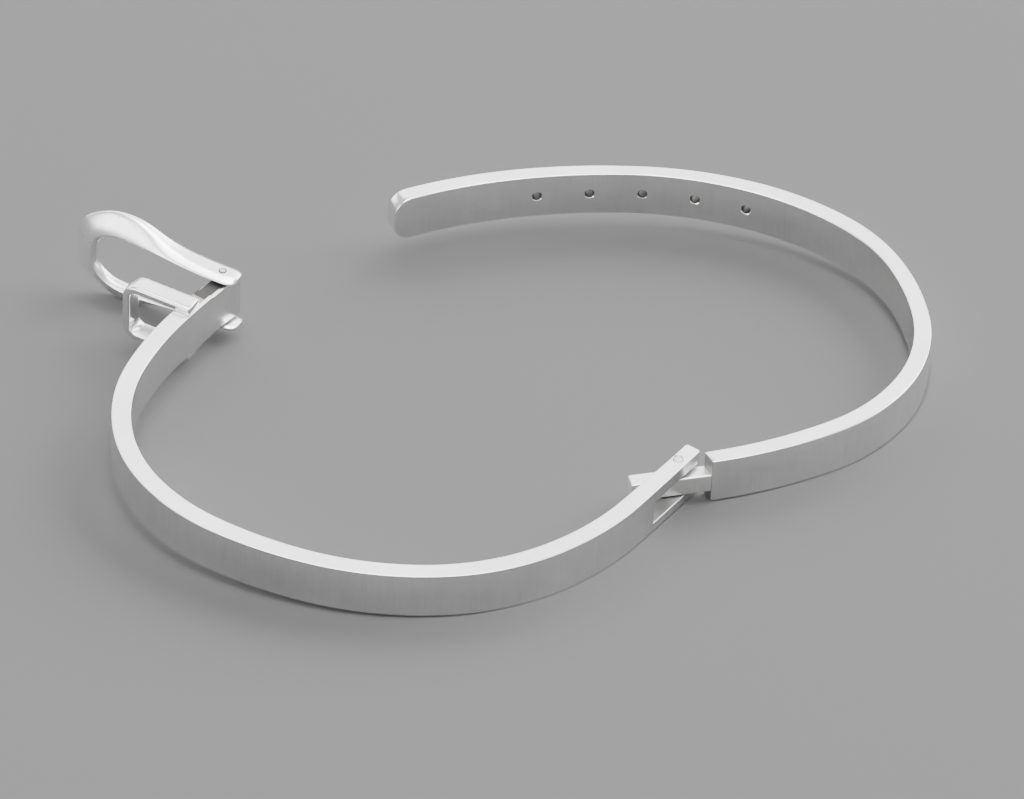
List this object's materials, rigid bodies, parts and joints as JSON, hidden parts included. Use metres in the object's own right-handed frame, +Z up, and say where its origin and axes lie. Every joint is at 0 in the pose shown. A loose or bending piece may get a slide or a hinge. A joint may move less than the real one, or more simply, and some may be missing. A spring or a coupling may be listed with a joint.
{
  "type": "hinged bangle",
  "caption": "Plain polished silver bangle in two hinged halves, lying open, with a horseshoe buckle, a keeper loop and adjusting holes.",
  "frame": {"origin": "centre of the bangle's plan box, on the surface it lies on", "axes": "+Z up from the surface; +Y away from the camera; the buckle is towards -X"},
  "size_m": [0.0834, 0.0616, 0.0101],
  "materials": {
    "silver_bar": "polished with fine wear",
    "silver_buckle": "polished",
    "silver_pin": "polished"
  },
  "bodies": {
    "front": {"front_band": "silver_bar", "hinge_pin": "silver_pin"},
    "back": {"back_band": "silver_bar"},
    "buckle": {"buckle": "silver_buckle", "buckle_pin": "silver_pin"}
  },
  "joints": [
    {"name": "hinge", "type": "hinge", "parent": "front", "child": "back", "pos_m": [0.01718, -0.01259, 0.0027], "axis": [0.023, -0.0322, 0.9992], "range_deg": [-88, 41]},
    {"name": "buckle_turn", "type": "hinge", "parent": "front", "child": "buckle", "pos_m": [-0.02721, 0.0116, 0.0045], "axis": [0.023, -0.0322, 0.9992], "range_deg": [-98, 22]}
  ]
}
